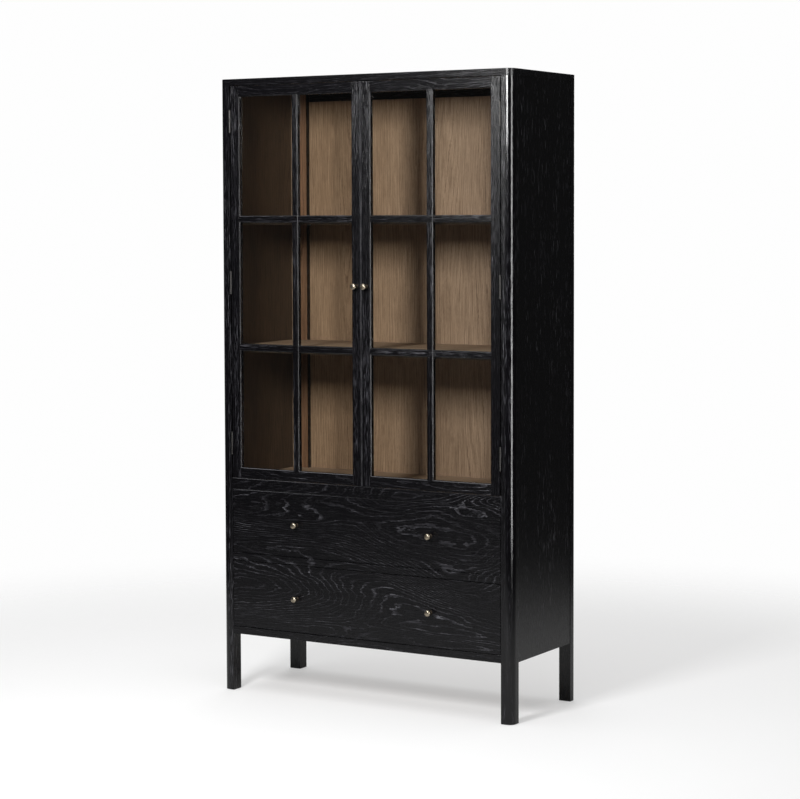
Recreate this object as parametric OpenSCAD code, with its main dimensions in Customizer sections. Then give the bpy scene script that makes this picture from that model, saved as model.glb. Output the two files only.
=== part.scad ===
// Tall glazed cabinet: two six-light doors over two full-width drawers, on four square legs.
// Black brushed oak outside, plain brown oak inside. Millimetres, +Z up, front towards -Y.
// The origin is on the floor, in the middle of the whole outline, knobs included.

/* [Case] */
// Overall height, floor to the top face
case_h = 2135; // [2000:5:2250]
// Overall width
case_w = 1150; // [1050:5:1300]
// Depth of the case, without the knobs
case_d = 462; // [440:2:520]
// Side of the square corner posts
post = 43; // [40:1:48]
// Radius of the four outer corners
corner_r = 24; // [8:1:32]
// Thickness of the top slab
top_t = 23; // [18:1:28]
// Clear height under the case
leg_h = 202; // [150:1:240]
// Thickness of the side panels
side_t = 16; // [12:1:18]
// Thickness of the back panels
back_t = 9; // [6:1:10]
// Width of the two stiles down the edges of the upper back panel
edge_stile_w = 40; // [25:1:45]

/* [Front rails and openings] */
// Height of the bottom front rail
bottom_rail_h = 26; // [24:1:36]
// Height of the lower drawer opening
lower_open_h = 235; // [200:1:250]
// Height of the rail between the drawers
divider_h = 26; // [20:1:36]
// Height of the upper drawer opening
upper_open_h = 224; // [200:1:240]
// Height of the rail between drawers and doors
middle_rail_h = 37; // [30:1:45]
// Depth of the front rails
rail_d = 30; // [26:1:36]
// Gap round each door and drawer front
gap = 2; // [2:0.5:2.5]
// Gap between the two doors
meeting_gap = 3; // [3:0.5:4]

/* [Doors] */
// Door thickness
door_t = 28; // [26:1:30]
// Width of stiles and rails
stile_w = 36; // [34:1:42]
// Width of the muntin bars
muntin_w = 24.5; // [22:0.5:28]
// Bevel on the front edges of every light
bevel = 3; // [2:0.5:4]
// Width of the glazing rebate
rebate_w = 7; // [6:0.5:8]
// Depth of the lip in front of the glass
lip_d = 10; // [8:0.5:12]
// Glass thickness
glass_t = 4; // [3:0.5:4]
// Depth of the glazing beads behind the glass
bead_d = 4; // [3:1:12]
// Height of the upper cross muntin's centre above the floor
muntin_hi = 1651.5; // [1600:0.5:1700]
// Height of the lower cross muntin's centre above the floor
muntin_lo = 1207.5; // [1150:0.5:1250]

/* [Shelves] */
// Shelf thickness
shelf_t = 23; // [20:1:26]
// Top face of the upper shelf above the floor
shelf_hi = 1656; // [1600:1:1700]
// Top face of the lower shelf above the floor
shelf_lo = 1212; // [1150:1:1250]

/* [Drawers] */
// Thickness of the drawer fronts
front_t = 24; // [20:1:26]
// Length of the drawer boxes behind the front
box_l = 400; // [360:5:400]
// Thickness of the drawer sides and backs
box_t = 12; // [10:1:14]
// Length of the slides
slide_l = 400; // [400:1:400]

/* [Knobs] */
// Diameter of the knob head
knob_d = 21; // [18:1:24]
// How far the knobs stand out from the front
knob_out = 26; // [24:1:28]

/* [Hidden] */
$fn = 48;
e = 0.5;                       // overshoot of the cutting shapes

black = "#2b2c31";
oak = "#7a5c3f";
steel = "#8f9296";
pewter = "#6d6455";

fy = -(case_d - knob_out) / 2; // front plane of posts, doors and drawers
ry = fy + case_d;              // rear plane
hw = case_w / 2;               // half width
ix = hw - post;                // inner face of the posts
sx = hw - 1 - side_t;          // inner face of the side panels
py = fy + post;                // rear face of the front posts
qy = ry - post;                // front face of the rear posts
by = ry - 23;                  // inner face of the back panels
case_top = case_h - top_t;     // underside of the top slab
glide_h = 1.5;

z_lower0 = leg_h + bottom_rail_h;
z_lower1 = z_lower0 + lower_open_h;
z_upper0 = z_lower1 + divider_h;
z_upper1 = z_upper0 + upper_open_h;
z_door0 = z_upper1 + middle_rail_h;   // bottom of the door opening

// Door outline, left door (the right one is its mirror image)
dx0 = -ix + gap;
dx1 = -meeting_gap / 2;
dz0 = z_door0 + gap;
dz1 = case_top - gap;
px0 = dx0 + stile_w;           // pane area, left edge
px1 = dx1 - stile_w;           // pane area, right edge
pz0 = dz0 + stile_w;
pz1 = dz1 - stile_w - 1;
mx = (px0 + px1) / 2;          // centre of the upright muntin
mh = muntin_w / 2;
// columns and rows of lights: [low edge, high edge]
cols = [[px0, mx - mh], [mx + mh, px1]];
rows = [[pz0, muntin_lo - mh], [muntin_lo + mh, muntin_hi - mh], [muntin_hi + mh, pz1]];

// Hinges: axis in front of the gap, beside the post
ax = -ix + gap / 2;
ay = fy - 3.8;
knuckle_r = 3.5;
pin_r = 1.8;
leaf_h = 76;
leaf_t = 2;
leaf_w = 24;
let_in = 1.25;                 // how deep each leaf is let into the wood
hinge_zs = [dz0 + 120, (dz0 + dz1) / 2, dz1 - 120];
leaf_screws = [[9, -27], [17, 0], [9, 27]];

knob_z = 1425;
knob_x = dx1 - stile_w / 2;
drawer_knob_x = ix / 2;

// Slides: the three nested channels fill this space beside each drawer box
slide_w = 12.7;
box_x = ix - slide_w;          // outer face of the drawer sides
slide_y0 = fy + front_t + 2;
slide_screw_ys = [fy + 35, qy + 3.6];
upper_slide_z = z_upper0 + 76;
lower_slide_z = z_lower0 + 76;

tx = ix - edge_stile_w;        // inner face of the edge stiles in front of the upper back panel
// Shelf pins, left side: [face they stand on, distance from front to rear]; posts in front, edge stiles behind
pin_at = [[-ix, fy + 37], [-tx, (qy + by) / 2]];

// ---------- shared shapes ----------

// Rectangle from corner to corner
module rect(x0, y0, x1, y1) { translate([x0, y0]) square([x1 - x0, y1 - y0]); }
// Box from corner to corner
module box(x0, y0, z0, x1, y1, z1) { translate([x0, y0, z0]) cube([x1 - x0, y1 - y0, z1 - z0]); }
// Round bar along X from x0 to x1
module bar_x(x0, x1, y, z, r) { translate([x0, y, z]) rotate([0, 90, 0]) cylinder(h = x1 - x0, r = r); }
// Round bar along Y from y0 to y1
module bar_y(y0, y1, x, z, r) { translate([x, y0, z]) rotate([-90, 0, 0]) cylinder(h = y1 - y0, r = r); }

// Plan outline of the case with its four rounded corners
module outline() {
  rect(-hw + corner_r, fy, hw - corner_r, ry);
  rect(-hw, fy + corner_r, hw, ry - corner_r);
  for (x = [-hw + corner_r, hw - corner_r], y = [fy + corner_r, ry - corner_r])
    translate([x, y]) circle(r = corner_r, $fn = 96);
}

// Plan of a board that reaches the side panels between the posts
module board_plan(y0, y1, c) {
  rect(-ix + c, y0, ix - c, y1);
  rect(-sx + c, py + c, sx - c, qy - c);
}

// Countersunk wood screw, head face at z = 0, pointing down -Z; c is the added radius for its hole
module screw(l, c = 0) {
  translate([0, 0, -1.9]) cylinder(h = 1.9, r1 = 1.75 + c, r2 = 3.5 + c);
  translate([0, 0, -1.9 - l]) cylinder(h = l, r = 1.75 + c);
  if (c > 0) cylinder(h = e, r = 3.5 + c);
}

// The three screws of each frame leaf, left side, driven into the post
module frame_leaf_screws(c = 0) {
  for (z = hinge_zs, s = leaf_screws)
    translate([-ix - let_in + leaf_t, fy + s[0], z + s[1]]) rotate([0, 90, 0]) screw(18, c);
}
// The three screws of each door leaf, left side, driven into the stile
module door_leaf_screws(c = 0) {
  for (z = hinge_zs, s = leaf_screws)
    translate([dx0 + let_in - leaf_t, fy + s[0], z - s[1]]) rotate([0, -90, 0]) screw(18, c);
}
// Pan-head screws that hold the case members of the slides to the posts, left side
module slide_screws(c = 0) {
  for (z = [upper_slide_z, lower_slide_z], y = slide_screw_ys) {
    bar_x(-ix - 14, -ix + 1.2 + c, y, z, 1.75 + c);
    if (c == 0) bar_x(-ix + 1.2, -ix + 2.6, y, z, 3.5);
  }
}

// Holes for the shelf pins, left side; i is 0 in front and 1 behind
module pin_holes(i)
  for (z = [shelf_hi, shelf_lo])
    bar_x(pin_at[i][0] - 9, pin_at[i][0] + e, pin_at[i][1], z - shelf_t - 3.5, 2.55);

// Plan of a shelf, cut out round the edge stiles
module shelf_plan() difference() {
  board_plan(fy + door_t + 3, by - 1, 1);
  for (m = [0, 1]) mirror([m, 0]) rect(-ix - e, qy - 1, -tx + 1, by + e);
}

// Corner post, left side; front or rear
module post_shape(front) {
  y0 = front ? fy : qy;
  difference() {
    translate([0, 0, glide_h]) linear_extrude(case_top - glide_h)
      intersection() { outline(); rect(-hw, y0, -ix, y0 + post); }
    slide_screws(0.05);
    if (front) {
      pin_holes(0);
      for (z = hinge_zs) box(-ix - let_in, fy - e, z - leaf_h / 2, -ix + e, fy + leaf_w, z + leaf_h / 2);
      frame_leaf_screws(0.05);
    }
  }
}

// One leaf of a butt hinge with its knuckles; own lists the knuckles it carries, from 0 at the bottom
module leaf(own, bore, x_in, x_out) {
  k = leaf_h / 5;
  for (z = hinge_zs) translate([0, 0, z - leaf_h / 2]) difference() {
    union() {
      box(x_in, fy, 0, x_out, fy + leaf_w, leaf_h);
      for (i = own) {
        translate([ax, ay, i * k + 0.2]) cylinder(h = k - 0.4, r = knuckle_r);
        box(x_in, ay + 2.2, i * k + 0.2, x_out, fy + e, (i + 1) * k - 0.2);
      }
    }
    translate([ax, ay, -e]) cylinder(h = leaf_h + 2 * e, r = bore);
  }
}

// Section of a stile, outer edge at x = 0 and front face at y = 0
module stile_section() {
  polygon([[0, 0], [stile_w - bevel, 0], [stile_w, bevel], [stile_w, lip_d],
           [stile_w - rebate_w, lip_d], [stile_w - rebate_w, door_t], [0, door_t]]);
}
// Section of a muntin, centred on x = 0
module muntin_section() {
  polygon([[-mh, bevel], [-mh + bevel, 0], [mh - bevel, 0], [mh, bevel], [mh, lip_d],
           [mh - rebate_w, lip_d], [mh - rebate_w, door_t], [-mh + rebate_w, door_t],
           [-mh + rebate_w, lip_d], [-mh, lip_d]]);
}
// Uprights of the left door, without mortises
module hinge_stile_bar() { translate([dx0, fy, dz0]) linear_extrude(dz1 - dz0) stile_section(); }
module meeting_stile_bar() {
  translate([dx1, fy, dz0]) linear_extrude(dz1 - dz0) mirror([1, 0]) stile_section();
}
// A bar along X from x0 to x1; its section is drawn as [depth, height]
module along_x(x0, x1, z) {
  translate([x0, fy, z]) rotate([90, 0, 90]) linear_extrude(x1 - x0) children();
}
// Section of a rail of height w, outer edge at height 0
module rail_section(w) {
  polygon([[0, 0], [0, w - bevel], [bevel, w], [lip_d, w],
           [lip_d, w - rebate_w], [door_t, w - rebate_w], [door_t, 0]]);
}

module hinge_stile_shape() {
  difference() {
    hinge_stile_bar();
    for (z = hinge_zs) box(dx0 - e, fy - e, z - leaf_h / 2, dx0 + let_in, fy + leaf_w, z + leaf_h / 2);
    door_leaf_screws(0.05);
  }
}
module meeting_stile_shape() {
  difference() {
    meeting_stile_bar();
    bar_y(fy - e, fy + door_t + e, knob_x, knob_z, 2.25);
  }
}
// Bottom and top rail between the stiles, coped over the stiles' bevels
module rail_bars() {
  along_x(px0 - rebate_w, px1 + rebate_w, dz0) rail_section(pz0 - dz0);
  along_x(px0 - rebate_w, px1 + rebate_w, dz1) mirror([0, 1]) rail_section(dz1 - pz1);
}
module rails_shape() {
  difference() { rail_bars(); hinge_stile_bar(); meeting_stile_bar(); }
}
// Two cross bars and one upright bar, halved into one grid and coped to the frame
module muntins_shape() {
  difference() {
    union() {
      for (z = [muntin_lo, muntin_hi])
        along_x(px0 - rebate_w, px1 + rebate_w, z) rotate([0, 0, 90]) mirror([0, 1]) muntin_section();
      translate([mx, fy, pz0 - rebate_w]) linear_extrude(pz1 - pz0 + 2 * rebate_w) muntin_section();
    }
    hinge_stile_bar();
    meeting_stile_bar();
    rail_bars();
  }
}
// Panes lie against the lips
module glass_shape() {
  c = rebate_w - 0.5;
  for (i = cols, j = rows) box(i[0] - c, fy + lip_d, j[0] - c, i[1] + c, fy + lip_d + glass_t, j[1] + c);
}
// Slim beads that hold the panes from behind
module beads_shape() {
  y0 = fy + lip_d + glass_t;
  for (i = cols, j = rows) difference() {
    box(i[0] - rebate_w, y0, j[0] - rebate_w, i[1] + rebate_w, y0 + bead_d, j[1] + rebate_w);
    box(i[0], y0 - e, j[0], i[1], y0 + bead_d + e, j[1]);
  }
}
// Round knob on a foot, standing on the plane y = 0 and pointing to -Y, with its screw hole
module knob_shape() {
  head = 10;
  difference() {
    rotate([90, 0, 0]) rotate_extrude($fn = 72) union() {
      rect(0, 0, 8, 1.6);
      rect(0, 0, 6.6, 2.8);
      rect(0, 2, 4.4, knob_out - head);
      rect(0, knob_out - head, knob_d / 2 - head / 2, knob_out);
      translate([knob_d / 2 - head / 2, knob_out - head / 2]) intersection() {
        circle(r = head / 2, $fn = 72);
        rect(0, -head, head, head);
      }
    }
    bar_y(-15, e, 0, 0, 2.05);
  }
}
// Machine screw into a knob: head behind the wood at depth t, pointing to -Y
module knob_screw(t) {
  bar_y(-13, t, 0, 0, 2);
  bar_y(t, t + 2.4, 0, 0, 4);
}
module door_knob_at() { translate([knob_x, fy, knob_z]) children(); }

// ---------- case ----------

module top_slab() color(black) translate([0, 0, case_top]) linear_extrude(top_t) outline();
module post_front_left() color(black) post_shape(true);
module post_front_right() color(black) mirror([1, 0, 0]) post_shape(true);
module post_rear_left() color(black) post_shape(false);
module post_rear_right() color(black) mirror([1, 0, 0]) post_shape(false);
module side_panel_left() color(black) box(-hw + 1, py, leg_h, -sx, qy, case_top);
module side_panel_right() color(black) mirror([1, 0, 0]) box(-hw + 1, py, leg_h, -sx, qy, case_top);
module back_panel_upper() color(oak) {
  box(-ix, by, z_door0 - 4, ix, by + back_t, case_top - 39);
  for (m = [0, 1]) mirror([m, 0, 0]) difference() {
    box(-ix, qy, z_door0 - 4, -tx, by, case_top);
    pin_holes(1);
  }
}
module back_panel_lower() color(oak) box(-ix, by, leg_h + 26, ix, by + back_t, z_door0 - 41);
// Three rails across the back, between the rear posts
module rear_rails() color(black) {
  box(-ix, by, leg_h, ix, ry - 3, leg_h + 26);
  box(-ix, by, z_door0 - 41, ix, ry - 3, z_door0 - 4);
  box(-ix, by, case_top - 39, ix, ry - 3, case_top);
}
module front_rail_middle() color(black) box(-ix, fy, z_upper1, ix, fy + rail_d, z_door0);
module front_rail_divider() color(black) box(-ix, fy, z_lower1, ix, fy + rail_d, z_upper0);
module front_rail_bottom() color(black) box(-ix, fy, leg_h, ix, fy + rail_d, z_lower0);
module compartment_floor() color(oak)
  translate([0, 0, z_door0 - 24]) linear_extrude(20) board_plan(fy + rail_d, by, 0);
module case_bottom() color(oak)
  translate([0, 0, leg_h + 4]) linear_extrude(16) board_plan(fy + rail_d, by, 0);
module shelf_upper() color(oak)
  translate([0, 0, shelf_hi - shelf_t]) linear_extrude(shelf_t) shelf_plan();
module shelf_lower() color(oak)
  translate([0, 0, shelf_lo - shelf_t]) linear_extrude(shelf_t) shelf_plan();
// Stepped metal pins in the front posts and the edge stiles, four under each shelf
module shelf_pins() color(steel)
  for (m = [0, 1]) mirror([m, 0, 0]) for (z = [shelf_hi, shelf_lo], p = pin_at) {
    bar_x(p[0] - 8.5, p[0], p[1], z - shelf_t - 3.5, 2.5);
    bar_x(p[0], p[0] + 9, p[1], z - shelf_t - 3.5, 3.5);
  }
module hinge_frame_leaves() color(steel)
  for (m = [0, 1]) mirror([m, 0, 0])
    difference() {
      leaf([0, 2, 4], pin_r + 0.02, -ix - let_in, -ix - let_in + leaf_t);
      frame_leaf_screws(0.05);
    }
module hinge_pins() color(steel)
  for (m = [0, 1]) mirror([m, 0, 0]) for (z = hinge_zs) {
    translate([ax, ay, z - leaf_h / 2]) cylinder(h = leaf_h, r = pin_r);
    for (s = [-1, 1]) translate([ax, ay, z + s * (leaf_h / 2 + 0.5)]) cylinder(h = 1.4, r = 3.1, center = true);
  }
module carcass_screws() color(steel)
  for (m = [0, 1]) mirror([m, 0, 0]) { frame_leaf_screws(); slide_screws(); }
// Two under the top and two on the compartment floor, behind the meeting stiles
module magnet_catches() color("#3a3a3a")
  for (m = [0, 1]) mirror([m, 0, 0]) {
    box(knob_x - 14, fy + door_t + 1.6, case_top - 15, knob_x + 14, fy + door_t + 34, case_top);
    box(knob_x - 14, fy + door_t + 1.6, z_door0, knob_x + 14, fy + door_t + 34, z_door0 + 11);
    box(knob_x - 14, fy + max(door_t + 1.6, rail_d), z_door0 - 4, knob_x + 14, fy + door_t + 34, z_door0 + 1);
  }
module slide_case_members() color(steel)
  for (m = [0, 1]) mirror([m, 0, 0]) difference() {
    for (z = [upper_slide_z, lower_slide_z]) {
      box(-ix, slide_y0, z - 22.5, -ix + 1.2, slide_y0 + slide_l, z + 22.5);
      for (s = [-1, 1])
        box(-ix, slide_y0, z + s * 21.9 - 0.6, -ix + 10.5, slide_y0 + slide_l, z + s * 21.9 + 0.6);
    }
    for (z = [upper_slide_z, lower_slide_z], y = slide_screw_ys) bar_x(-ix - e, -ix + 1.2 + e, y, z, 1.8);
  }
module floor_glides() color("#1c1c1c")
  for (x = [-hw + post / 2 + 1, hw - post / 2 - 1], y = [fy + post / 2 + 1, ry - post / 2 - 1])
    translate([x, y, 0]) cylinder(h = glide_h, r = 15);

// ---------- doors ----------

module door_left_hinge_stile() color(black) hinge_stile_shape();
module door_left_meeting_stile() color(black) meeting_stile_shape();
module door_left_rails() color(black) rails_shape();
module door_left_muntins() color(black) muntins_shape();
module door_left_glass() color("#b9c7c9", 0.35) glass_shape();
module door_left_glazing_beads() color(black) beads_shape();
module door_left_knob() color(pewter) door_knob_at() knob_shape();
module door_left_hinge_leaves() color(steel)
  difference() {
    leaf([1, 3], pin_r + 0.05, dx0 + let_in - leaf_t, dx0 + let_in);
    door_leaf_screws(0.05);
  }
module door_left_screws() color(steel) {
  door_leaf_screws();
  door_knob_at() knob_screw(door_t);
}
// Small steel plates on the back of the meeting stile, facing the catches
module door_left_strike_plates() color(steel)
  for (z = [dz1 - 15, dz0 + 1]) box(knob_x - 11, fy + door_t, z, knob_x + 11, fy + door_t + 1.2, z + 14);

module door_right_hinge_stile() mirror([1, 0, 0]) door_left_hinge_stile();
module door_right_meeting_stile() mirror([1, 0, 0]) door_left_meeting_stile();
module door_right_rails() mirror([1, 0, 0]) door_left_rails();
module door_right_muntins() mirror([1, 0, 0]) door_left_muntins();
module door_right_glass() mirror([1, 0, 0]) door_left_glass();
module door_right_glazing_beads() mirror([1, 0, 0]) door_left_glazing_beads();
module door_right_knob() mirror([1, 0, 0]) door_left_knob();
module door_right_hinge_leaves() mirror([1, 0, 0]) door_left_hinge_leaves();
module door_right_screws() mirror([1, 0, 0]) door_left_screws();
module door_right_strike_plates() mirror([1, 0, 0]) door_left_strike_plates();

// ---------- drawers: z0 and z1 are the bottom and top of the opening, zs the height of its slides ----------

box_low = 14;                  // underside of the box above the opening
box_high = 20;                 // top of the box below the opening's top
box_y0 = fy + front_t;
box_y1 = box_y0 + box_l;

module drawer_front(z0, z1) difference() {
  box(-ix + gap, fy, z0 + gap, ix - gap, fy + front_t, z1 - gap);
  for (x = [-drawer_knob_x, drawer_knob_x]) bar_y(fy - e, fy + front_t + e, x, (z0 + z1) / 2, 2.25);
}
module drawer_screw_holes(zs, c) {
  for (m = [0, 1]) mirror([m, 0, 0]) for (y = [box_y0 + 40, box_y1 - 40]) {
    bar_x(-box_x - 1.2, -box_x + 9, y, zs, 1.6 + c);
    if (c == 0) bar_x(-box_x - 2.6, -box_x - 1.2, y, zs, 3.2);
  }
}
module drawer_sides(z0, z1, zs) difference() {
  for (m = [0, 1]) mirror([m, 0, 0])
    box(-box_x, box_y0, z0 + box_low, -box_x + box_t, box_y1, z1 - box_high);
  drawer_screw_holes(zs, 0.05);
}
// The back stands on the bottom, between the sides
module drawer_back(z0, z1)
  box(-box_x + box_t, box_y1 - box_t, z0 + box_low + 10, box_x - box_t, box_y1, z1 - box_high);
module drawer_bottom(z0)
  box(-box_x + box_t, box_y0, z0 + box_low + 4, box_x - box_t, box_y1, z0 + box_low + 10);
module drawer_knobs(z0, z1)
  for (x = [-drawer_knob_x, drawer_knob_x]) translate([x, fy, (z0 + z1) / 2]) knob_shape();
module drawer_screws(z0, z1, zs) {
  for (x = [-drawer_knob_x, drawer_knob_x]) translate([x, fy, (z0 + z1) / 2]) knob_screw(front_t);
  drawer_screw_holes(zs, 0);
}
// Innermost channels, on the drawer sides
module drawer_slide_members(zs) difference() {
  for (m = [0, 1]) mirror([m, 0, 0]) {
    box(-box_x - 1.2, slide_y0, zs - 14, -box_x, slide_y0 + slide_l - 4, zs + 14);
    for (s = [-1, 1])
      box(-box_x - 6.2, slide_y0, zs + s * 13.4 - 0.6, -box_x, slide_y0 + slide_l - 4, zs + s * 13.4 + 0.6);
  }
  drawer_screw_holes(zs, 0.05);
}
// Middle channels: they travel half as far as the drawer
module slide_middle_members(zs)
  for (m = [0, 1]) mirror([m, 0, 0]) {
    box(-ix + 3.4, slide_y0, zs - 18.5, -ix + 4.6, slide_y0 + slide_l - 2, zs + 18.5);
    for (s = [-1, 1])
      box(-ix + 3.4, slide_y0, zs + s * 17.9 - 0.6, -ix + 11.2, slide_y0 + slide_l - 2, zs + s * 17.9 + 0.6);
  }

module drawer_upper_front() color(black) drawer_front(z_upper0, z_upper1);
module drawer_upper_sides() color(oak) drawer_sides(z_upper0, z_upper1, upper_slide_z);
module drawer_upper_back() color(oak) drawer_back(z_upper0, z_upper1);
module drawer_upper_bottom() color(oak) drawer_bottom(z_upper0);
module drawer_upper_knobs() color(pewter) drawer_knobs(z_upper0, z_upper1);
module drawer_upper_screws() color(steel) drawer_screws(z_upper0, z_upper1, upper_slide_z);
module drawer_upper_slide_members() color(steel) drawer_slide_members(upper_slide_z);
module slide_upper_middle_members() color(steel) slide_middle_members(upper_slide_z);
module drawer_lower_front() color(black) drawer_front(z_lower0, z_lower1);
module drawer_lower_sides() color(oak) drawer_sides(z_lower0, z_lower1, lower_slide_z);
module drawer_lower_back() color(oak) drawer_back(z_lower0, z_lower1);
module drawer_lower_bottom() color(oak) drawer_bottom(z_lower0);
module drawer_lower_knobs() color(pewter) drawer_knobs(z_lower0, z_lower1);
module drawer_lower_screws() color(steel) drawer_screws(z_lower0, z_lower1, lower_slide_z);
module drawer_lower_slide_members() color(steel) drawer_slide_members(lower_slide_z);
module slide_lower_middle_members() color(steel) slide_middle_members(lower_slide_z);

top_slab();
post_front_left();
post_front_right();
post_rear_left();
post_rear_right();
side_panel_left();
side_panel_right();
back_panel_upper();
back_panel_lower();
rear_rails();
front_rail_middle();
front_rail_divider();
front_rail_bottom();
compartment_floor();
case_bottom();
shelf_upper();
shelf_lower();
shelf_pins();
hinge_frame_leaves();
hinge_pins();
carcass_screws();
magnet_catches();
slide_case_members();
floor_glides();
door_left_hinge_stile();
door_left_meeting_stile();
door_left_rails();
door_left_muntins();
door_left_glass();
door_left_glazing_beads();
door_left_knob();
door_left_hinge_leaves();
door_left_screws();
door_left_strike_plates();
door_right_hinge_stile();
door_right_meeting_stile();
door_right_rails();
door_right_muntins();
door_right_glass();
door_right_glazing_beads();
door_right_knob();
door_right_hinge_leaves();
door_right_screws();
door_right_strike_plates();
drawer_upper_front();
drawer_upper_sides();
drawer_upper_back();
drawer_upper_bottom();
drawer_upper_knobs();
drawer_upper_screws();
drawer_upper_slide_members();
slide_upper_middle_members();
drawer_lower_front();
drawer_lower_sides();
drawer_lower_back();
drawer_lower_bottom();
drawer_lower_knobs();
drawer_lower_screws();
drawer_lower_slide_members();
slide_lower_middle_members();
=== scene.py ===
import math

import bpy
from mathutils import Matrix, Vector


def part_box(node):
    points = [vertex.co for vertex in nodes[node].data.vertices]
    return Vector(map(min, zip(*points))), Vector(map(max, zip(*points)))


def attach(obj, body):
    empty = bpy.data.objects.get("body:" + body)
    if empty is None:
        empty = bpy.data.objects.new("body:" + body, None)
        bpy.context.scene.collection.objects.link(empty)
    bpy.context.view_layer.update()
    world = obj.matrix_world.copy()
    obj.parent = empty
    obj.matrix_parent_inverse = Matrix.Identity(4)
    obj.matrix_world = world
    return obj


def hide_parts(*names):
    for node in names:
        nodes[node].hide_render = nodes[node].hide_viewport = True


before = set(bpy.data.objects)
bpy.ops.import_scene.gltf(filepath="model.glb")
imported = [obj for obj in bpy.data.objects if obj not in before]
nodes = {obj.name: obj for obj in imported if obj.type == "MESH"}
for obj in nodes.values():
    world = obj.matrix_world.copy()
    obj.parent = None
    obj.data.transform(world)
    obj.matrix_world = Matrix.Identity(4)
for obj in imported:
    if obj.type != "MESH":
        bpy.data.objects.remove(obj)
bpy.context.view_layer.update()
scene = bpy.context.scene
scene.view_settings.view_transform = "Standard"
scene.view_settings.look = "None"

# ---------- camera ----------
F_PX = 2239.61
CAM_AT = Vector((3.97733, -6.59132, 1.66463))
YAW, PITCH, ROLL = (math.radians(v) for v in (30.974, -3.3245, -0.18))
fw0 = Vector((-math.sin(YAW), math.cos(YAW), 0))
rt0 = Vector((math.cos(YAW), math.sin(YAW), 0))
up0 = Vector((0, 0, 1))
fw = fw0 * math.cos(PITCH) + up0 * math.sin(PITCH)
up1 = up0 * math.cos(PITCH) - fw0 * math.sin(PITCH)
rt = rt0 * math.cos(ROLL) + up1 * math.sin(ROLL)
up = up1 * math.cos(ROLL) - rt0 * math.sin(ROLL)
cam_data = bpy.data.cameras.new("camera")
cam = bpy.data.objects.new("camera", cam_data)
scene.collection.objects.link(cam)
cam.matrix_world = Matrix((
    (rt.x, up.x, -fw.x, CAM_AT.x),
    (rt.y, up.y, -fw.y, CAM_AT.y),
    (rt.z, up.z, -fw.z, CAM_AT.z),
    (0, 0, 0, 1),
))
cam_data.sensor_width = 36
cam_data.lens = F_PX / 800 * 36
cam_data.shift_x = 0.0
cam_data.shift_y = (345 - 399.5) / 800
cam_data.clip_start, cam_data.clip_end = 0.1, 100
scene.camera = cam


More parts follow.
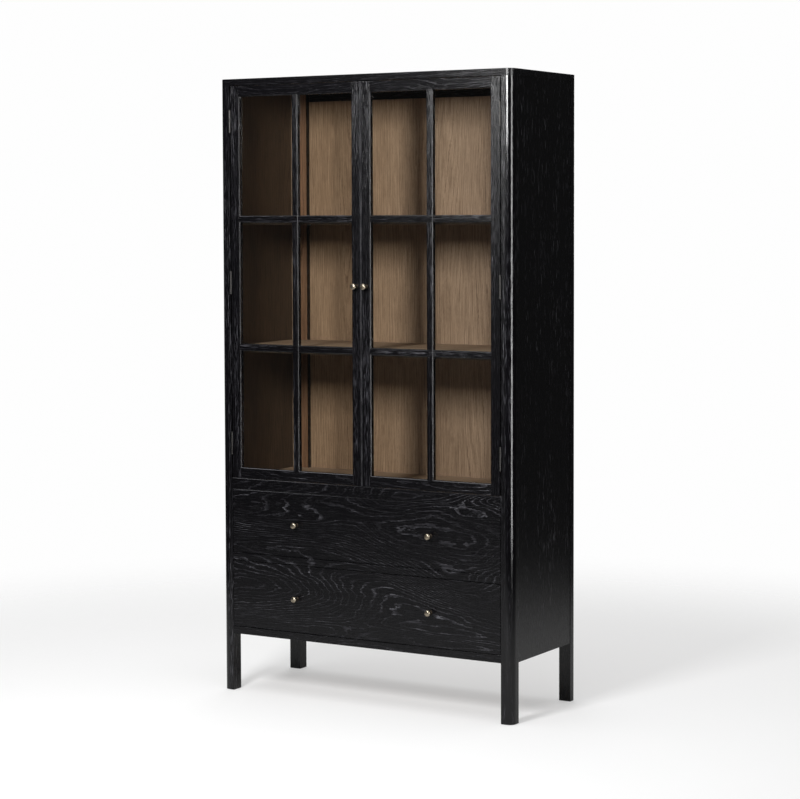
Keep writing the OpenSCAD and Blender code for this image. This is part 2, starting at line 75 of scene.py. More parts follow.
# ---------- node helpers ----------
class Tree:
    """Short calls for a material's nodes."""

    def __init__(self, name):
        self.mat = bpy.data.materials.new(name)
        self.mat.use_nodes = True
        self.nt = self.mat.node_tree
        self.nt.nodes.clear()
        self.out = self.nt.nodes.new("ShaderNodeOutputMaterial")

    def node(self, kind, **props):
        n = self.nt.nodes.new(kind)
        for k, v in props.items():
            setattr(n, k, v)
        return n

    def put(self, socket, value):
        if isinstance(value, bpy.types.NodeSocket):
            self.nt.links.new(value, socket)
        else:
            socket.default_value = value

    def math(self, op, a, b=0.0, c=0.0, clamp=False):
        n = self.node("ShaderNodeMath", operation=op, use_clamp=clamp)
        for s, v in zip(n.inputs, (a, b, c)):
            self.put(s, v)
        return n.outputs[0]

    def vmul(self, a, b):
        n = self.node("ShaderNodeVectorMath", operation="MULTIPLY")
        self.put(n.inputs[0], a)
        self.put(n.inputs[1], b)
        return n.outputs[0]

    def vadd(self, a, b):
        n = self.node("ShaderNodeVectorMath", operation="ADD")
        self.put(n.inputs[0], a)
        self.put(n.inputs[1], b)
        return n.outputs[0]

    def noise(self, vec, detail=2.0, rough=0.5, distort=0.0):
        n = self.node("ShaderNodeTexNoise", noise_dimensions="3D")
        self.put(n.inputs["Vector"], vec)
        n.inputs["Scale"].default_value = 1.0
        n.inputs["Detail"].default_value = detail
        n.inputs["Roughness"].default_value = rough
        n.inputs["Distortion"].default_value = distort
        return n.outputs["Fac"]

    def step(self, x, lo, hi, to_lo=0.0, to_hi=1.0):
        n = self.node("ShaderNodeMapRange", interpolation_type="SMOOTHSTEP")
        self.put(n.inputs["Value"], x)
        n.inputs["From Min"].default_value = lo
        n.inputs["From Max"].default_value = hi
        n.inputs["To Min"].default_value = to_lo
        n.inputs["To Max"].default_value = to_hi
        return n.outputs["Result"]

    def lerp(self, t, a, b):
        n = self.node("ShaderNodeMix", data_type="FLOAT")
        self.put(n.inputs[0], t)
        self.put(n.inputs[2], a)
        self.put(n.inputs[3], b)
        return n.outputs[0]

    def mix(self, t, a, b):
        n = self.node("ShaderNodeMix", data_type="RGBA")
        self.put(n.inputs[0], t)
        self.put(n.inputs[6], a)
        self.put(n.inputs[7], b)
        return n.outputs[2]

    def ramp(self, t, stops):
        n = self.node("ShaderNodeValToRGB")
        self.put(n.inputs[0], t)
        e = n.color_ramp.elements
        while len(e) < len(stops):
            e.new(0.5)
        for el, (p, c) in zip(e, stops):
            el.position = p
            el.color = (*c, 1)
        return n.outputs[0]

    def xyz(self):
        tc = self.node("ShaderNodeTexCoord")
        sep = self.node("ShaderNodeSeparateXYZ")
        self.put(sep.inputs[0], tc.outputs["Object"])
        return sep.outputs[0], sep.outputs[1], sep.outputs[2]

    def combine(self, a, b, c):
        n = self.node("ShaderNodeCombineXYZ")
        for s, v in zip(n.inputs, (a, b, c)):
            self.put(s, v)
        return n.outputs[0]

    def bump(self, height, strength, distance):
        n = self.node("ShaderNodeBump")
        n.inputs["Strength"].default_value = strength
        n.inputs["Distance"].default_value = distance
        self.put(n.inputs["Height"], height)
        return n.outputs[0]

    def principled(self, color, rough, normal=None, **fixed):
        n = self.node("ShaderNodeBsdfPrincipled")
        self.put(n.inputs["Base Color"], color)
        self.put(n.inputs["Roughness"], rough)
        if normal is not None:
            self.put(n.inputs["Normal"], normal)
        for k, v in fixed.items():
            n.inputs[k.replace("_", " ")].default_value = v
        return n.outputs[0]

    def finish(self, shader):
        self.nt.links.new(shader, self.out.inputs["Surface"])
        return self.mat


def along(t, axis, x, y, z):
    """Grain space: first the way the grain runs, then the two ways across it."""
    return {"X": lambda: t.combine(x, z, y), "Y": lambda: t.combine(y, z, x), "Z": lambda: t.combine(z, x, y)}[axis]()


def oak_figure(t, g, figure, seed, calm=False):
    """Growth-ring lines, brushed streaks and open pores in grain space g. figure 1 is flat-sawn, with arches; 0 is straight."""
    base = t.vadd(g, (seed * 1.37, seed * 0.71, seed * 2.13))
    sep = t.node("ShaderNodeSeparateXYZ")
    t.put(sep.inputs[0], base)
    across = t.math("ADD", sep.outputs[1], sep.outputs[2])
    fa, fc, lines, k, k2 = (1.0, 4.8, 38.0, 38.0, 2.2) if figure else (0.30, 6.0, 95.0, 5.0, 1.0)
    if calm:
        fa, fc, lines, k, k2 = 0.55, 4.2, 75.0, 17.0, 1.1
    wide = t.noise(t.vmul(base, (fa, fc, fc)), 1.0, 0.4, 0.6)
    mid = t.noise(t.vmul(base, (fa * 7, fc * 6, fc * 6)), 2.0, 0.5)
    ragged = t.noise(t.vmul(base, (90, 300, 300)), 2.0, 0.6)
    field = t.math("MULTIPLY_ADD", across, lines, t.math("MULTIPLY", wide, k))
    field = t.math("MULTIPLY_ADD", mid, k2, field)
    field = t.math("MULTIPLY_ADD", ragged, 0.55 if figure else 0.34, field)
    saw = t.math("FRACT", field)
    line = t.math("MULTIPLY", t.step(saw, 0.70, 0.95), t.step(saw, 0.95, 1.0, 1.0, 0.0))
    saw3 = t.math("FRACT", t.math("MULTIPLY", field, 2.37))
    faint = t.math("MULTIPLY", t.step(saw3, 0.45, 0.9), t.step(saw3, 0.9, 1.0, 1.0, 0.0))
    streak = t.noise(t.vmul(base, (16, 420, 420) if figure else (24, 520, 520)), 2.0, 0.6)
    broad = t.noise(t.vmul(base, (3.0, 16, 16) if figure else (1.6, 40, 40)), 2.0, 0.5)
    pore = t.step(t.noise(t.vmul(base, (34, 1300, 1300)), 1.0, 0.5), 0.56, 0.72)
    return line, faint, streak, broad, pore


# ---------- black brushed oak, grain filled a little lighter ----------
def black_oak_parts(t, g, figure, seed, lift=1.0, sparse=False):
    line, faint, streak, broad, pore = oak_figure(t, g, figure, seed)
    s = t.step(streak, 0.36, 0.70)
    b = t.step(broad, 0.36, 0.66)
    if figure:
        # the ring lines come and go over the board, and break up along their length
        f = t.math("MULTIPLY", line, t.math("MULTIPLY_ADD", s, 0.44, 0.24))
        f = t.math("MULTIPLY", f, t.math("MULTIPLY_ADD", b, 0.9, 0.40))
        f = t.math("MULTIPLY_ADD", faint, t.math("MULTIPLY", s, 0.24), f)
        f = t.math("MULTIPLY_ADD", t.step(streak, 0.57, 0.76), 0.20, f)
    elif sparse:
        # a dark board with a few short filled dashes
        tick = t.noise(t.vmul(t.vadd(g, (seed * 0.9, seed * 1.9, seed * 0.4)), (30, 330, 330)), 1.0, 0.5)
        f = t.math("MULTIPLY", t.step(tick, 0.60, 0.72), t.math("MULTIPLY_ADD", b, 0.66, 0.14))
        f = t.math("MULTIPLY_ADD", s, 0.07, f)
    else:
        # straight grain: short dashes everywhere, thick in some strips
        dash = t.step(streak, 0.50, 0.66)
        f = t.math("MULTIPLY", dash, t.math("MULTIPLY_ADD", t.math("POWER", b, 2.0), 0.55, 0.16))
        f = t.math("MULTIPLY_ADD", line, t.math("MULTIPLY", s, 0.26), f)
        f = t.math("MULTIPLY_ADD", faint, 0.04, f)
    f = t.math("MULTIPLY_ADD", pore, 0.03, f)
    f = t.math("MULTIPLY", f, lift, clamp=True)
    color = t.ramp(f, [(0.0, (0.0019, 0.0017, 0.0024)), (0.16, (0.0034, 0.0031, 0.0042)), (0.5, (0.0260, 0.0252, 0.0300)), (1.0, (0.125, 0.124, 0.138))])
    rough = t.math("MULTIPLY_ADD", f, 0.24, 0.25)
    height = t.math("MULTIPLY_ADD", f, 0.5, t.math("MULTIPLY", s, 0.40))
    height = t.math("MULTIPLY_ADD", pore, -0.35, height)
    return color, rough, height


def paint_arris_highlight(t, color, rough, mask):
    """Painted highlight on an arris: the black is lightened in colour, and the roughness drops so the edge is a
    little shinier.
    """
    return t.mix(mask, color, (0.125, 0.124, 0.134, 1)), t.lerp(mask, rough, 0.28)


def near(t, a, b, width):
    return less(t, t.math("ABSOLUTE", t.math("SUBTRACT", a, b)), width)


def black_oak(name, axis, figure, seed, lift=1.0, arris=None):
    t = Tree(name)
    x, y, z = t.xyz()
    color, rough, height = black_oak_parts(t, along(t, axis, x, y, z), figure, seed, lift)
    if arris:
        # painted highlight on the front edges that the arris mask picks
        color, rough = paint_arris_highlight(t, color, rough, both(t, arris(t, x, y, z), less(t, y, -0.2158)))
    return t.finish(t.principled(color, rough, t.bump(height, 0.5, 0.0005), Specular_IOR_Level=0.32))


def black_oak_cross(name, centre_x, half, seed):
    """Crossed glazing bars: the upright's grain runs up and the cross bars' grain runs across."""
    t = Tree(name)
    x, y, z = t.xyz()
    away = t.math("ABSOLUTE", t.math("SUBTRACT", x, centre_x))
    upright = t.math("LESS_THAN", away, half)
    for zc in (1.6515, 1.2075):
        lap = t.math("LESS_THAN", t.math("ABSOLUTE", t.math("SUBTRACT", z, zc)), half)
        upright = t.math("MULTIPLY", upright, t.math("SUBTRACT", 1.0, lap))
    g = t.mix(upright, along(t, "X", x, y, z), along(t, "Z", x, y, z))
    color, rough, height = black_oak_parts(t, g, False, seed)
    # painted highlight along the right edge of the upright bar, broken up by noise, on the front only
    bar_edge_highlight = both(t, near(t, x, centre_x + half, 0.0011), t.step(t.noise(t.combine(x, y, t.math("MULTIPLY", z, 14)), 2.0, 0.6), 0.35, 0.65, 0.35, 0.80))
    color, rough = paint_arris_highlight(t, color, rough, both(t, bar_edge_highlight, less(t, y, -0.2158)))
    return t.finish(t.principled(color, rough, t.bump(height, 0.5, 0.0005), Specular_IOR_Level=0.32))


# ---------- plain oiled brown oak ----------
def brown_oak_parts(t, g, seed, tone=1.0):
    line, faint, streak, broad, pore = oak_figure(t, g, True, seed, True)
    fine = t.noise(t.vmul(t.vadd(g, (seed, seed, 0)), (7.0, 520, 520)), 2.0, 0.6)
    f = t.math("MULTIPLY_ADD", t.step(streak, 0.3, 0.7), 0.22, 0.40)
    f = t.math("MULTIPLY_ADD", t.step(broad, 0.3, 0.7), 0.12, f)
    f = t.math("MULTIPLY_ADD", t.step(fine, 0.35, 0.65), 0.26, f)
    f = t.math("MULTIPLY_ADD", line, -0.22, f)
    f = t.math("MULTIPLY_ADD", faint, -0.14, f)
    f = t.math("MULTIPLY_ADD", pore, -0.20, f)
    f = t.math("ADD", f, 0.0, clamp=True)
    c = [(0.0, (0.062, 0.032, 0.016)), (0.35, (0.184, 0.114, 0.069)), (0.65, (0.305, 0.202, 0.130)), (1.0, (0.45, 0.315, 0.215))]
    tone = tone if isinstance(tone, tuple) else (tone, tone, tone)
    color = t.ramp(f, [(p, tuple(v * w for v, w in zip(q, tone))) for p, q in c])
    rough = t.math("MULTIPLY_ADD", f, -0.1, 0.66)
    height = t.math("MULTIPLY_ADD", f, 0.5, t.math("MULTIPLY", pore, -0.5))
    return color, rough, height


def brown_oak(name, axis, seed, tone=1.0):
    t = Tree(name)
    x, y, z = t.xyz()
    color, rough, height = brown_oak_parts(t, along(t, axis, x, y, z), seed, tone)
    return t.finish(t.principled(color, rough, t.bump(height, 0.25, 0.0004), Specular_IOR_Level=0.35))


def two_tone(name, axis, figure, seed, inside, lift=1.0, tone=1.0, sparse=False, corner=False):
    """Black outside and brown where inside(t, x, y, z) is 1: the faces that look into the cabinet."""
    t = Tree(name)
    x, y, z = t.xyz()
    g = along(t, axis, x, y, z)
    c1, r1, h1 = black_oak_parts(t, g, figure, seed, lift, sparse)
    c2, r2, h2 = brown_oak_parts(t, g, seed + 3, tone)
    m = inside(t, x, y, z)
    if corner:
        # the rounded outer corner is rubbed a little smoother
        ax, ay = t.math("ABSOLUTE", x), t.math("ABSOLUTE", t.math("SUBTRACT", y, 0.013))
        rub = t.math("MULTIPLY", t.step(ax, 0.548, 0.553), t.step(ay, 0.204, 0.209))
        r1 = t.lerp(rub, r1, t.math("MULTIPLY_ADD", h1, 0.11, 0.115))
        h1 = t.lerp(rub, h1, t.math("MULTIPLY", h1, 0.5))
    color, rough, height = t.mix(m, c1, c2), t.lerp(m, r1, r2), t.lerp(m, h1, h2)
    shader = t.principled(color, rough, t.bump(height, 0.35, 0.0005), Specular_IOR_Level=0.42)
    if corner:
        # painted shade in the gap between a front post and its door: a near-black diffuse shader
        gap = both(t, less(t, t.math("ABSOLUTE", x), 0.5340), less(t, y, -0.19), t.math("GREATER_THAN", z, 0.752))
        gap_shade = t.node("ShaderNodeBsdfDiffuse")
        gap_shade.inputs["Color"].default_value = (0.0015, 0.0015, 0.0015, 1)
        mix = t.node("ShaderNodeMixShader")
        t.put(mix.inputs[0], gap)
        t.put(mix.inputs[1], shader)
        t.put(mix.inputs[2], gap_shade.outputs[0])
        shader = mix.outputs[0]
    return t.finish(shader)


def less(t, a, b):
    return t.math("LESS_THAN", a, b)


def both(t, *m):
    r = m[0]
    for q in m[1:]:
        r = t.math("MULTIPLY", r, q)
    return r


def panel_inside(t, x, y, z):
    return less(t, t.math("ABSOLUTE", x), 0.5586)


def rear_post_inside(t, x, y, z):
    ax = t.math("ABSOLUTE", x)
    face = both(t, less(t, y, 0.2018), less(t, ax, 0.5576))
    side = both(t, less(t, ax, 0.5328), less(t, y, 0.2208))
    return both(t, t.math("MAXIMUM", face, side), t.math("GREATER_THAN", z, 0.2285))


def front_post_inside(t, x, y, z):
    ax = t.math("ABSOLUTE", x)
    face = both(t, t.math("GREATER_THAN", y, -0.1758), less(t, ax, 0.5576))
    side = both(t, less(t, ax, 0.5328), t.math("GREATER_THAN", y, -0.1895))
    return both(t, t.math("MAXIMUM", face, side), t.math("GREATER_THAN", z, 0.2285))


def slab_inside(t, x, y, z):
    ax = t.math("ABSOLUTE", x)
    return both(t, less(t, z, 2.1126), less(t, ax, 0.558), t.math("GREATER_THAN", y, -0.175), less(t, y, 0.221))


def shelf_mat():
    """The shelves: the front edge and the underside are a much darker brown, as painted shade."""
    t = Tree("brown_oak_shelves")
    x, y, z = t.xyz()
    g = along(t, "X", x, y, z)
    c1, r, h = brown_oak_parts(t, g, 2.0)
    c2, _, _ = brown_oak_parts(t, g, 2.0, 0.38)
    # painted shade: the bands at the shelf undersides and the front edge take the darker copy c2
    near = [less(t, t.math("ABSOLUTE", t.math("SUBTRACT", z, zb)), 0.0022) for zb in (1.6330, 1.1890)]
    m = t.math("MAXIMUM", t.math("MAXIMUM", near[0], near[1]), less(t, y, -0.1858))
    return t.finish(t.principled(t.mix(m, c1, c2), r, t.bump(h, 0.25, 0.0004), Specular_IOR_Level=0.30))


def back_mat():
    """The back panel: the edge stiles are redder, and the faces at their inner edges are black."""
    t = Tree("brown_oak_back")
    x, y, z = t.xyz()
    g = along(t, "Z", x, y, z)
    c1, r1, h1 = brown_oak_parts(t, g, 1.0)
    c2, r2, h2 = black_oak_parts(t, g, False, 1.0)
    # the boards run from a warmer, darker brown at the left to a greyer one at the right: the warmth is the wood's
    # tone, the darkening at the left is painted shade
    shift = t.mix(t.step(x, -0.45, 0.40), (0.86, 0.79, 0.70, 1), (0.90, 0.88, 0.88, 1))
    board = t.node("ShaderNodeMix", data_type="RGBA", blend_type="MULTIPLY")
    board.inputs[0].default_value = 1.0
    t.put(board.inputs[6], c1)
    t.put(board.inputs[7], shift)
    c1 = board.outputs[2]
    ax = t.math("ABSOLUTE", x)
    stile = less(t, y, 0.2205)
    red = t.node("ShaderNodeMix", data_type="RGBA", blend_type="MULTIPLY")
    t.put(red.inputs[0], stile)
    t.put(red.inputs[6], c1)
    red.inputs[7].default_value = (0.62, 0.50, 0.43, 1)
    edge = both(t, stile, less(t, ax, 0.4926))
    color, rough, height = t.mix(edge, red.outputs[2], c2), t.lerp(edge, r1, r2), t.lerp(edge, h1, h2)
    return t.finish(t.principled(color, rough, t.bump(height, 0.25, 0.0004), Specular_IOR_Level=0.30))


# ---------- metals, glass, plastic ----------
def metal(name, color, dark, rough, grain=(60, 60, 60), amount=0.5, bump=0.05):
    t = Tree(name)
    x, y, z = t.xyz()
    p = t.combine(x, y, z)
    n1 = t.noise(t.vmul(p, grain), 3.0, 0.6)
    n2 = t.noise(t.vmul(p, (900, 900, 900)), 2.0, 0.5)
    f = t.math("MULTIPLY", t.step(n1, 0.35, 0.7), amount)
    col = t.mix(f, (*color, 1), (*dark, 1))
    r = t.math("MULTIPLY_ADD", n1, 0.22, rough - 0.11)
    return t.finish(t.principled(col, r, t.bump(n2, bump, 0.0002), Metallic=1.0))


def pewter_mat():
    t = Tree("aged_pewter")
    x, y, z = t.xyz()
    p = t.combine(x, y, z)
    n1 = t.noise(t.vmul(p, (160, 160, 160)), 4.0, 0.6)
    n2 = t.noise(t.vmul(p, (1400, 1400, 1400)), 2.0, 0.5)
    # blotchy patina on the metal; the neck and foot are near-black, as painted shade under the knob's head
    neck_shade = t.step(y, -0.2375, -0.228)
    f = t.math("MAXIMUM", t.math("MULTIPLY", t.step(n1, 0.42, 0.72), 0.55), t.math("MULTIPLY", neck_shade, 1.0))
    col = t.mix(f, (0.40, 0.345, 0.265, 1), (0.030, 0.024, 0.018, 1))
    r = t.math("MULTIPLY_ADD", f, 0.20, 0.30)
    return t.finish(t.principled(col, r, t.bump(n2, 0.06, 0.0002), Metallic=1.0))


def glass_mat():
    t = Tree("clear_glass")
    # the same reflectance on both faces of the pane: 0.034 square on, rising at a grazing angle
    facing = t.node("ShaderNodeLayerWeight")
    facing.inputs["Blend"].default_value = 0.5
    fres = t.math("MULTIPLY_ADD", t.math("POWER", facing.outputs["Facing"], 5.0), 0.966, 0.034)
    clear = t.node("ShaderNodeBsdfTransparent")
    clear.inputs["Color"].default_value = (0.972, 0.985, 0.980, 1)
    x, y, z = t.xyz()
    wave = t.noise(t.vmul(t.combine(x, y, z), (5, 5, 5)), 1.0, 0.4)
    gloss = t.node("ShaderNodeBsdfGlossy")
    gloss.inputs["Roughness"].default_value = 0.02
    t.put(gloss.inputs["Normal"], t.bump(wave, 0.04, 0.002))
    mix = t.node("ShaderNodeMixShader")
    t.put(mix.inputs[0], fres)
    t.put(mix.inputs[1], clear.outputs[0])
    t.put(mix.inputs[2], gloss.outputs[0])
    return t.finish(mix.outputs[0])


def plastic_mat():
    t = Tree("dark_plastic")
    x, y, z = t.xyz()
    n = t.noise(t.vmul(t.combine(x, y, z), (700, 700, 700)), 2.0, 0.5)
    col = t.mix(n, (0.012, 0.012, 0.012, 1), (0.03, 0.03, 0.03, 1))
    return t.finish(t.principled(col, 0.55, t.bump(n, 0.15, 0.0003)))


def rail_highlight(t, x, y, z):
    """Painted highlight along the sill of the panes, stronger at the left."""
    return both(t, near(t, z, 0.788, 0.0019), t.step(x, -0.5, 0.5, 1.0, 0.55))


def stile_highlight(t, x, y, z):
    """Painted highlight on the outer edges of the doors at the centre and on each pane's left edge, broken up by
    noise.
    """
    ax = t.math("ABSOLUTE", x)
    centre = less(t, ax, 0.0026)
    pane = t.math("MAXIMUM", near(t, x, -0.494, 0.0012), near(t, x, 0.0375, 0.0012))
    edge = t.math("MAXIMUM", centre, both(t, pane, t.math("GREATER_THAN", z, 0.788)))
    return t.math("MULTIPLY", edge, t.step(t.noise(t.combine(x, y, t.math("MULTIPLY", z, 14)), 2.0, 0.6), 0.35, 0.65, 0.35, 0.85))


def case_highlight(t, x, y, z):
    """Painted highlight on the top edges of the rail under the doors and of the drawer fronts, stronger at the left.
    """
    m = t.math("MAXIMUM", near(t, z, 0.7495, 0.0010), near(t, z, 0.7105, 0.0010))
    return both(t, m, t.step(x, -0.5, 0.1, 0.62, 0.12))


BX = black_oak("black_oak_across", "X", True, 2.0, arris=case_highlight)
BXD = black_oak("black_oak_door_rails", "X", True, 9.0, arris=rail_highlight)
BXS = black_oak("black_oak_straight_across", "X", False, 5.0)
BZ = black_oak("black_oak_up", "Z", False, 1.0)
BZM = black_oak("black_oak_stiles", "Z", False, 7.0, 0.90, arris=stile_highlight)
SLAB = two_tone("black_oak_top", "X", False, 5.0, slab_inside, 1.0, 0.8)
# the side panels' inside faces are a much darker brown (tone 0.26 and less): painted shade on the walls that the
# light only grazes
PANEL = two_tone("oak_side_panels", "Z", False, 4.0, panel_inside, 1.0, (0.26, 0.235, 0.195), True)
POSTF = two_tone("oak_front_posts", "Z", False, 1.0, front_post_inside, corner=True)
POSTR = two_tone("oak_rear_posts", "Z", False, 1.0, rear_post_inside, corner=True)
CROSS_L = black_oak_cross("black_oak_bars_left", -0.26575, 0.01225, 3.0)
CROSS_R = black_oak_cross("black_oak_bars_right", 0.26575, 0.01225, 6.0)
OZ = brown_oak("brown_oak_up", "Z", 1.0)
OX = brown_oak("brown_oak_across", "X", 2.0)
SHELF = shelf_mat()
BACK = back_mat()
OY = brown_oak("brown_oak_deep", "Y", 3.0)
STEEL = metal("slide_steel", (0.55, 0.56, 0.58), (0.36, 0.37, 0.39), 0.34, (8, 260, 260), 0.5)
HINGE = metal("hinge_steel", (0.060, 0.058, 0.056), (0.028, 0.027, 0.026), 0.40, (300, 300, 40), 0.6)
PEWTER = pewter_mat()
GLASS = glass_mat()
PLASTIC = plastic_mat()

MATS = {
    "top_slab": SLAB,
    "post_front_left": POSTF, "post_front_right": POSTF, "post_rear_left": POSTR, "post_rear_right": POSTR,
    "side_panel_left": PANEL, "side_panel_right": PANEL,
    "back_panel_upper": BACK, "back_panel_lower": OZ, "rear_rails": BXS,
    "front_rail_middle": BX, "front_rail_divider": BX, "front_rail_bottom": BX,
    "compartment_floor": OX, "case_bottom": OX, "shelf_upper": SHELF, "shelf_lower": SHELF,
    "magnet_catches": PLASTIC, "floor_glides": PLASTIC,
    "hinge_frame_leaves": HINGE, "hinge_pins": HINGE,
}
for side, cross in (("left", CROSS_L), ("right", CROSS_R)):
    d = "door_" + side + "_"
    MATS.update({
        d + "hinge_stile": BZM, d + "meeting_stile": BZM, d + "rails": BXD, d + "muntins": cross,
        d + "glazing_beads": cross, d + "glass": GLASS, d + "hinge_leaves": HINGE,
    })
for level in ("upper", "lower"):
    d = "drawer_" + level + "_"
    MATS.update({d + "front": BX, d + "sides": OY, d + "back": OX, d + "bottom": OX})
for name, o in nodes.items():
    mat = MATS.get(name) or STEEL
    if name.endswith(("knob", "knobs")):
        mat = PEWTER
    o.data.materials.clear()
    o.data.materials.append(mat)


# ---------- eased edges on the wood ----------
def ease(o, width, segments=2):
    """Softened arrises. The CAD mesh itself stays as it is."""
    me = o.data
    if "custom_normal" in me.attributes:
        me.attributes.remove(me.attributes["custom_normal"])
    for p in me.polygons:
        p.use_smooth = True
    m = o.modifiers.new("weld", "WELD")
    m.merge_threshold = 1e-5
    m = o.modifiers.new("flat", "DECIMATE")
    m.decimate_type = "DISSOLVE"
    m.angle_limit = math.radians(0.5)
    m = o.modifiers.new("ease", "BEVEL")
    m.width = width
    m.segments = segments
    m.limit_method = "ANGLE"
    m.angle_limit = math.radians(35)
    m.use_clamp_overlap = True
    m = o.modifiers.new("shade", "WEIGHTED_NORMAL")
    m.keep_sharp = True
    m.weight = 60


WOOD = {BX: 0.0010, BXD: 0.0008, BXS: 0.0010, BZ: 0.0010, BZM: 0.0008, SLAB: 0.0012, PANEL: 0.0006, POSTF: 0.0012,
        POSTR: 0.0012, CROSS_L: 0.0006, CROSS_R: 0.0006, OX: 0.0010, OY: 0.0010, OZ: 0.0006, SHELF: 0.0010, BACK: 0.0006}
for name, o in nodes.items():
    w = WOOD.get(o.data.materials[0])
    if w:
        ease(o, 0.0004 if name.endswith("beads") else 0.0018 if name.endswith("meeting_stile") else 0.0013 if name.endswith("hinge_stile") else w)


# ---------- turned knobs ----------
PROFILE = [(0, 0), (8.0, 0), (8.0, 0.9), (7.5, 1.5), (6.5, 1.8), (5.6, 2.5), (4.7, 4.0), (4.1, 6.4), (3.9, 9.0),
           (4.2, 11.8), (5.3, 14.2), (7.2, 15.8), (9.1, 17.0), (10.2, 18.6), (10.5, 20.2), (10.2, 22.0), (9.2, 23.6),
           (7.4, 24.9), (5.0, 25.6), (2.5, 25.93), (0, 26.0)]


def smooth_profile(pts, per=5):
    """Catmull-Rom through the turned part; the flat foot stays flat."""
    out = list(pts[:3])
    body = pts[2:]
    for i in range(len(body) - 1):
        p0, p1, p2 = body[max(i - 1, 0)], body[i], body[i + 1]
        p3 = body[min(i + 2, len(body) - 1)]
        for k in range(1, per + 1):
            s = k / per
            out.append(tuple(
                0.5 * (2 * b + (c - a) * s + (2 * a - 5 * b + 4 * c - d) * s * s + (3 * b - a - 3 * c + d) * s ** 3)
                for a, b, c, d in zip(p0, p1, p2, p3)
            ))
    out[-1] = pts[-1]
    return out


def knobs(name, places, body, node, seg=64):
    prof = smooth_profile(PROFILE)
    verts, faces = [], []
    for cx, fy, cz in places:
        start = len(verts)
        rings = []
        for r, h in prof:
            r, h = min(max(r, 0), 10.5) / 1000, min(h, 26.0) / 1000
            if r < 1e-6:
                rings.append([len(verts)])
                verts.append((cx, fy - h, cz))
            else:
                rings.append(list(range(len(verts), len(verts) + seg)))
                for k in range(seg):
                    a = 2 * math.pi * k / seg
                    verts.append((cx + r * math.cos(a), fy - h, cz + r * math.sin(a)))
        for a, b in zip(rings, rings[1:]):
            for k in range(seg):
                j = (k + 1) % seg
                f = [a[k % len(a)], a[j % len(a)], b[j % len(b)], b[k % len(b)]]
                f = [v for i, v in enumerate(f) if v not in f[:i]]
                if len(f) > 2:
                    faces.append(f)
    me = bpy.data.meshes.new(name)
    me.from_pydata(verts, [], faces)
    me.update()
    for p in me.polygons:
        p.use_smooth = True
    me.set_sharp_from_angle(angle=math.radians(50))
    o = bpy.data.objects.new(name, me)
    scene.collection.objects.link(o)
    me.materials.append(PEWTER)
    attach(o, body)
    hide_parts(node)
    return o


def knob_places(node):
    """Knob centres from the node's box: one knob on a door, two on a drawer."""
    lo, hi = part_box(node)
    fy, cz = lo.y + 0.026, (lo.z + hi.z) / 2
    if hi.x - lo.x < 0.05:
        return [((lo.x + hi.x) / 2, fy, cz)]
    return [(lo.x + 0.0105, fy, cz), (hi.x - 0.0105, fy, cz)]


for body in ("door_left", "door_right"):
    knobs(body + "_turned_knob", knob_places(body + "_knob"), body, body + "_knob")
for body in ("drawer_upper", "drawer_lower"):
    knobs(body + "_turned_knobs", knob_places(body + "_knobs"), body, body + "_knobs")


# ---------- floor and light ----------
def floor():
    me = bpy.data.meshes.new("floor")
    r = 9.0
    me.from_pydata([(-r, -r, 0), (r, -r, 0), (r, r, 0), (-r, r, 0)], [], [(0, 1, 2, 3)])
    o = bpy.data.objects.new("floor", me)
    scene.collection.objects.link(o)
    t = Tree("pale_floor")
    x, y, z = t.xyz()
    d = t.math("SQRT", t.math("ADD", t.math("MULTIPLY", x, x), t.math("MULTIPLY", y, y)))
    fade = t.step(d, 1.5, 3.4)
    clear = t.node("ShaderNodeBsdfTransparent")
    path = t.node("ShaderNodeLightPath")
    shade = t.lerp(path.outputs["Is Glossy Ray"], t.lerp(path.outputs["Is Diffuse Ray"], 0.90, 0.50), 0.60)
    pale = t.node("ShaderNodeBsdfDiffuse")
    t.put(pale.inputs["Color"], t.combine(shade, shade, shade))
    even = t.node("ShaderNodeEmission")
    even.inputs["Color"].default_value = (1, 1, 1, 1)
    lit = t.node("ShaderNodeMixShader")
    t.put(lit.inputs[0], t.math("MULTIPLY", path.outputs["Is Camera Ray"], 0.41))
    t.put(lit.inputs[1], pale.outputs[0])
    t.put(lit.inputs[2], even.outputs[0])
    mix = t.node("ShaderNodeMixShader")
    t.put(mix.inputs[0], fade)
    t.put(mix.inputs[1], lit.outputs[0])
    t.put(mix.inputs[2], clear.outputs[0])
    me.materials.append(t.finish(mix.outputs[0]))


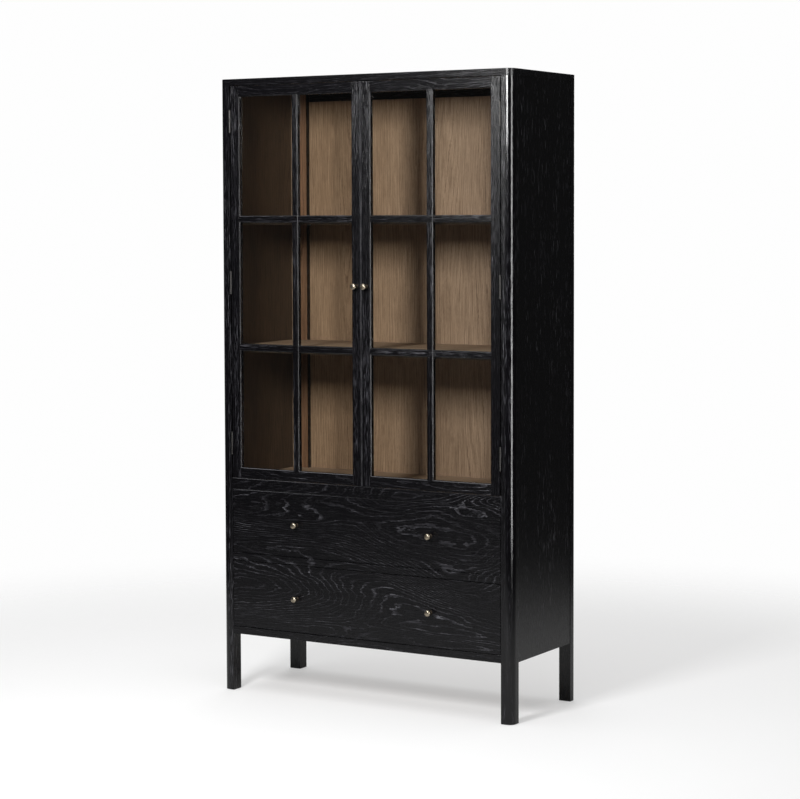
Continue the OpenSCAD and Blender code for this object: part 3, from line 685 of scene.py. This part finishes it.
def softbox(name, at, to, size, power, color=(1, 1, 1)):
    d = bpy.data.lights.new(name, "AREA")
    d.shape = "RECTANGLE"
    d.size, d.size_y = size
    d.energy = power
    d.color = color
    o = bpy.data.objects.new(name, d)
    scene.collection.objects.link(o)
    o.location = at
    o.rotation_mode = "QUATERNION"
    o.rotation_quaternion = (Vector(to) - Vector(at)).to_track_quat("-Z", "Y")
    o.visible_camera = False
    o.visible_transmission = False
    return o


def polar(az, dist, z):
    a = math.radians(az)
    return (math.sin(a) * dist, -math.cos(a) * dist, z)


floor()
softbox("key", (0.19, -2.85, 2.40), (0, 0, 1.35), (0.6, 0.8), 96)
softbox("overhead", (0, -0.2, 4.6), (0, 0, 0), (5.0, 5.0), 150)
# a strip at the right that only shows as a reflection in the rounded corners and arrises
strip = softbox("strip", polar(67, 3.4, 1.45), (0.55, -0.2, 1.25), (0.75, 2.6), 88)
strip.visible_diffuse = False
softbox("back_fill", polar(205, 5.0, 2.6), (0, 0, 1.0), (2.5, 2.5), 60)

world = bpy.data.worlds.new("studio")
scene.world = world
world.use_nodes = True
wt = world.node_tree
wt.nodes.clear()
out = wt.nodes.new("ShaderNodeOutputWorld")
path = wt.nodes.new("ShaderNodeLightPath")
white = wt.nodes.new("ShaderNodeBackground")
white.inputs["Color"].default_value = (0.99, 0.99, 0.99, 1)
white.inputs["Strength"].default_value = 1.0
dim = wt.nodes.new("ShaderNodeBackground")
dim.inputs["Color"].default_value = (1, 1, 1, 1)
dim.inputs["Strength"].default_value = 0.15
dark = wt.nodes.new("ShaderNodeBackground")
dark.inputs["Color"].default_value = (1, 1, 1, 1)
dark.inputs["Strength"].default_value = 0.035
mix1 = wt.nodes.new("ShaderNodeMixShader")
mix2 = wt.nodes.new("ShaderNodeMixShader")
wt.links.new(path.outputs["Is Diffuse Ray"], mix1.inputs[0])
wt.links.new(white.outputs[0], mix1.inputs[1])
wt.links.new(dim.outputs[0], mix1.inputs[2])
wt.links.new(path.outputs["Is Glossy Ray"], mix2.inputs[0])
wt.links.new(mix1.outputs[0], mix2.inputs[1])
wt.links.new(dark.outputs[0], mix2.inputs[2])
wt.links.new(mix2.outputs[0], out.inputs["Surface"])
